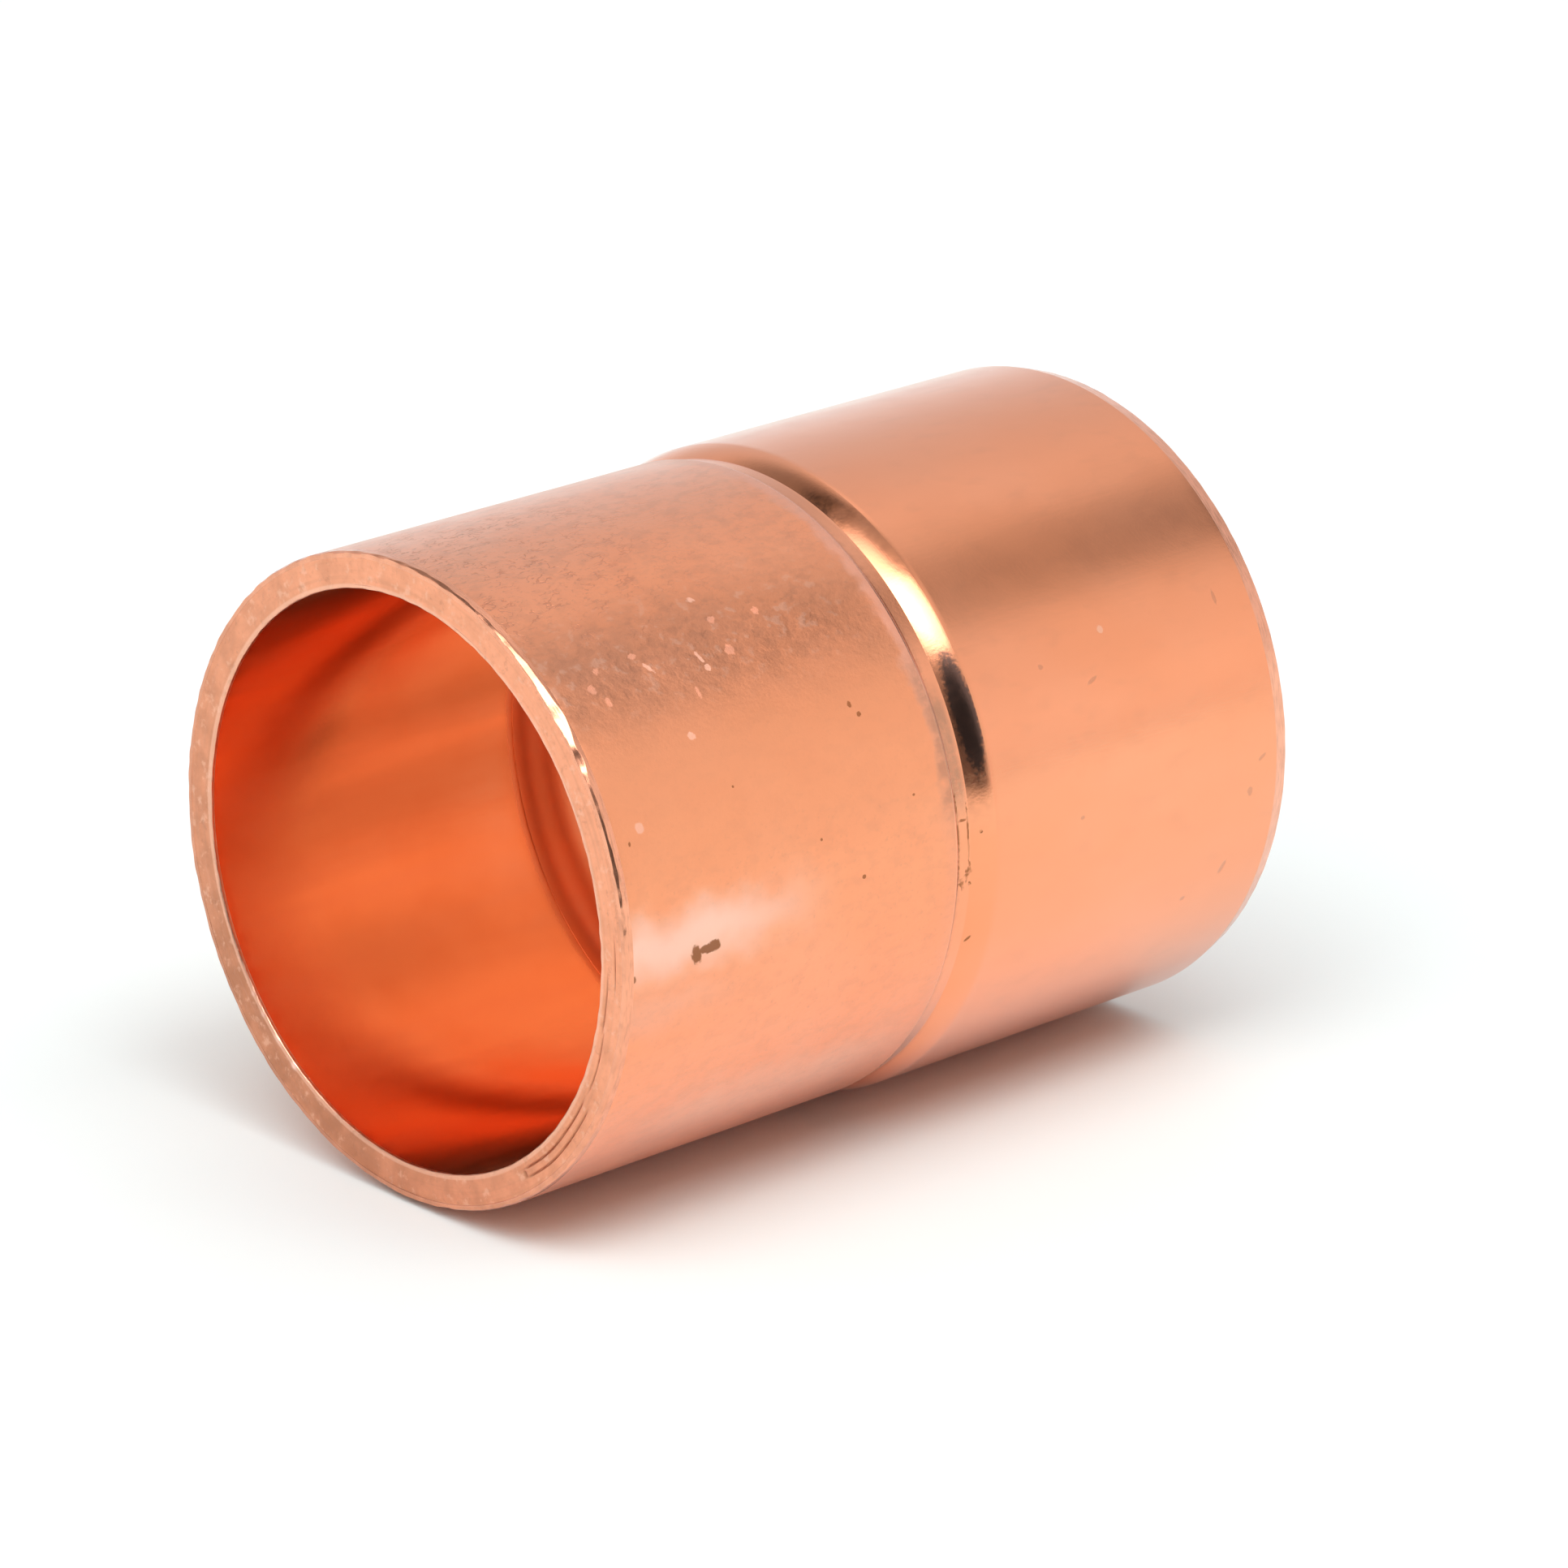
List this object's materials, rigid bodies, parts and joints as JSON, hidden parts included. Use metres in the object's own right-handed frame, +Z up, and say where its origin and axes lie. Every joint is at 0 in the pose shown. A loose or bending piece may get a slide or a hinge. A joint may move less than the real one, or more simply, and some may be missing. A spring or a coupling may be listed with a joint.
{
  "type": "reducing coupling",
  "caption": "Straight copper pipe coupling with plain solder sockets of slightly different size, joined by a rolled groove and shoulder that form the tube stop.",
  "frame": {"origin": "on the bore's axis, halfway between the two mouths", "axes": "+X along the bore from the small mouth to the large one, +Z up with the fitting lying on its side"},
  "size_m": [0.043, 0.0322, 0.0322],
  "materials": {
    "brushed_copper": "satin",
    "polished_copper": "polished"
  },
  "bodies": {
    "root": {"small_socket": "brushed_copper", "stop_groove": "brushed_copper", "reducing_shoulder": "polished_copper", "large_socket": "polished_copper"}
  },
  "joints": []
}
